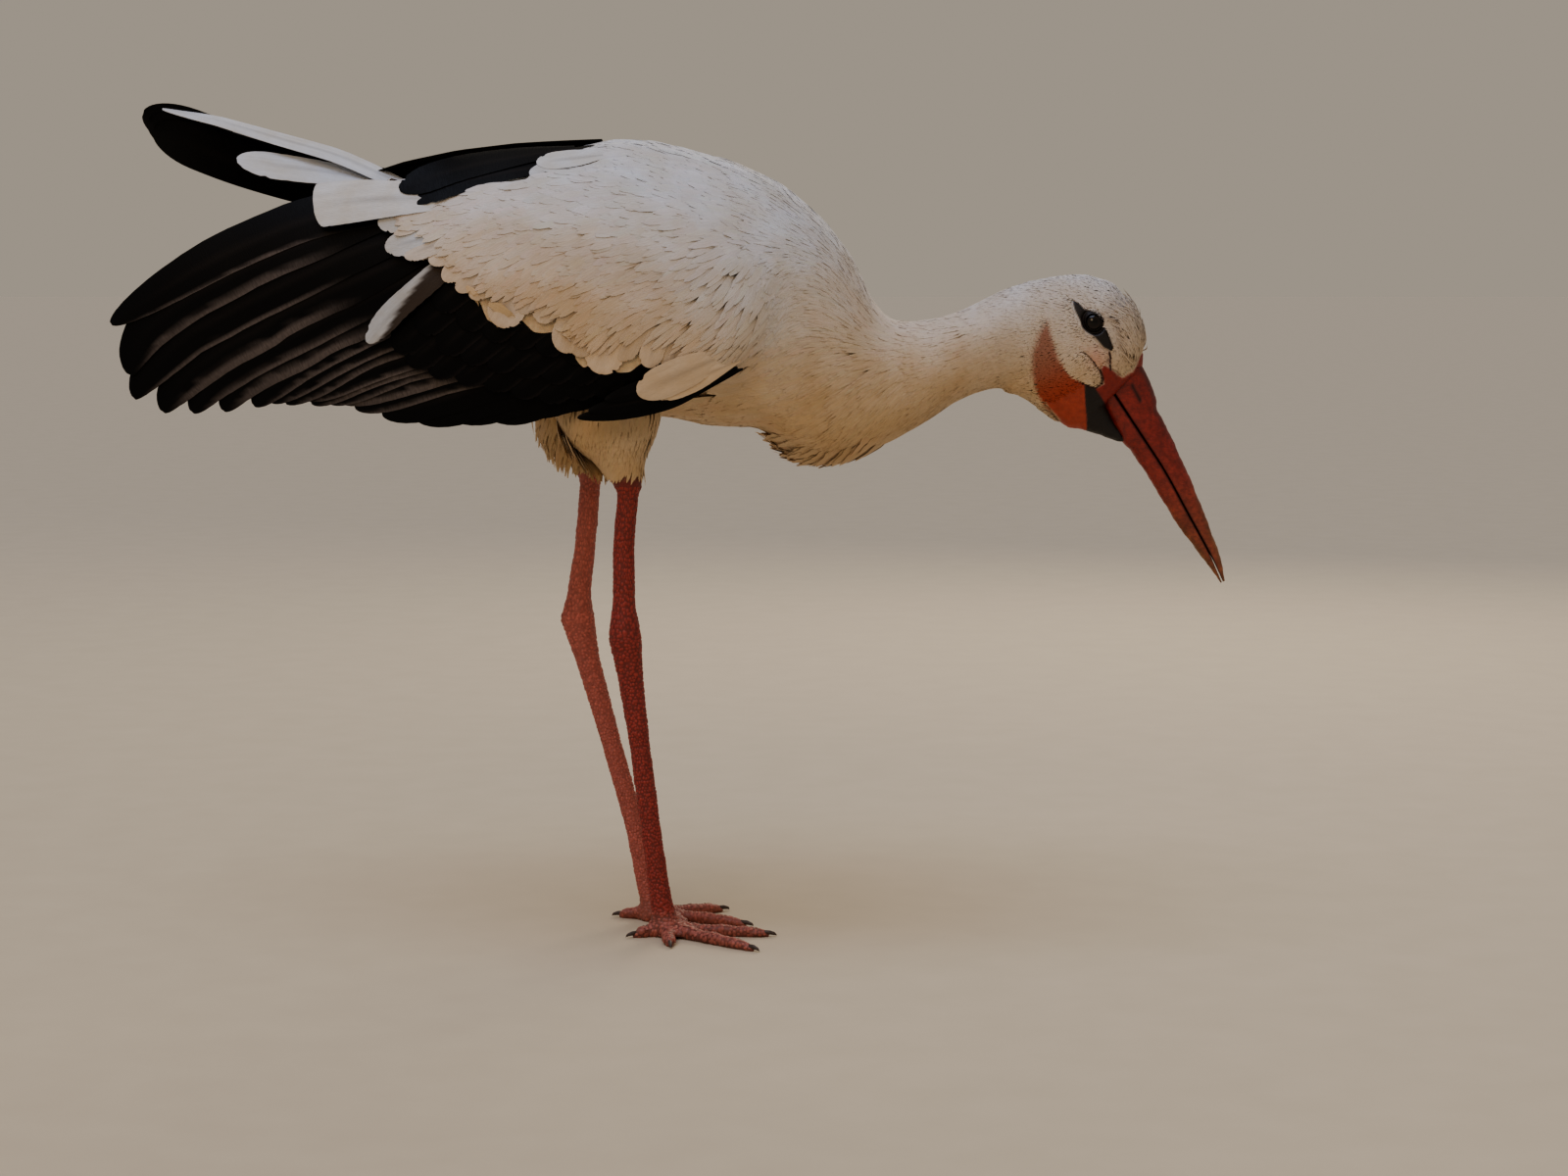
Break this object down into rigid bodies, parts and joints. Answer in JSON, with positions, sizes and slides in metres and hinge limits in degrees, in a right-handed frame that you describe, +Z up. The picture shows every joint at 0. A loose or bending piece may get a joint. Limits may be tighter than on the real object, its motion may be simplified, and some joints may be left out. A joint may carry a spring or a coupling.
{
  "type": "white stork",
  "caption": "Life-size white stork standing still, neck stretched forward, long bill pointing down, wings loosely folded.",
  "frame": {"origin": "middle of the outline's bounding box, on the ground that the feet stand on", "axes": "+X the way the bird faces, +Y its left side, +Z up"},
  "size_m": [0.8422, 0.2196, 0.6345],
  "materials": {
    "white_plumage": "soft overlapping white feathers, creamy in the shade",
    "black_feather": "black flight feathers with a silvery bloom and a faint sheen",
    "red_horn": "red horny bill, brown and scuffed towards the tip",
    "red_skin": "bare red skin with small net-like scales",
    "dark_horn": "dark worn claw",
    "wet_eye": "wet dark brown eye"
  },
  "bodies": {
    "root": {"trunk": "white_plumage", "neck_lower": "white_plumage", "neck_upper": "white_plumage", "head": "white_plumage", "leg_right_thigh": "white_plumage", "leg_left_thigh": "white_plumage", "wing_right_coverts": "white_plumage", "wing_left_coverts": "white_plumage", "tail_coverts": "white_plumage", "tail_right": "white_plumage", "tail_left": "white_plumage", "wing_right_alula": "black_feather", "wing_right_secondaries": "black_feather", "wing_right_primaries": "black_feather", "wing_right_tertials": "black_feather", "wing_left_secondaries": "black_feather", "wing_left_primaries": "black_feather", "wing_left_tertials": "black_feather", "bill_upper": "red_horn", "bill_lower": "red_horn", "eye_right": "wet_eye", "eye_left": "wet_eye", "leg_right_shank": "red_skin", "leg_right_tarsus": "red_skin", "leg_right_foot": "red_skin", "leg_right_toe_hind": "red_skin", "leg_right_toe_inner": "red_skin", "leg_right_toe_middle": "red_skin", "leg_right_toe_outer": "red_skin", "leg_right_claw_hind": "dark_horn", "leg_right_claw_inner": "dark_horn", "leg_right_claw_middle": "dark_horn", "leg_right_claw_outer": "dark_horn", "leg_left_shank": "red_skin", "leg_left_tarsus": "red_skin", "leg_left_foot": "red_skin", "leg_left_toe_hind": "red_skin", "leg_left_toe_inner": "red_skin", "leg_left_toe_middle": "red_skin", "leg_left_toe_outer": "red_skin", "leg_left_claw_hind": "dark_horn", "leg_left_claw_inner": "dark_horn", "leg_left_claw_middle": "dark_horn", "leg_left_claw_outer": "dark_horn"}
  },
  "joints": []
}
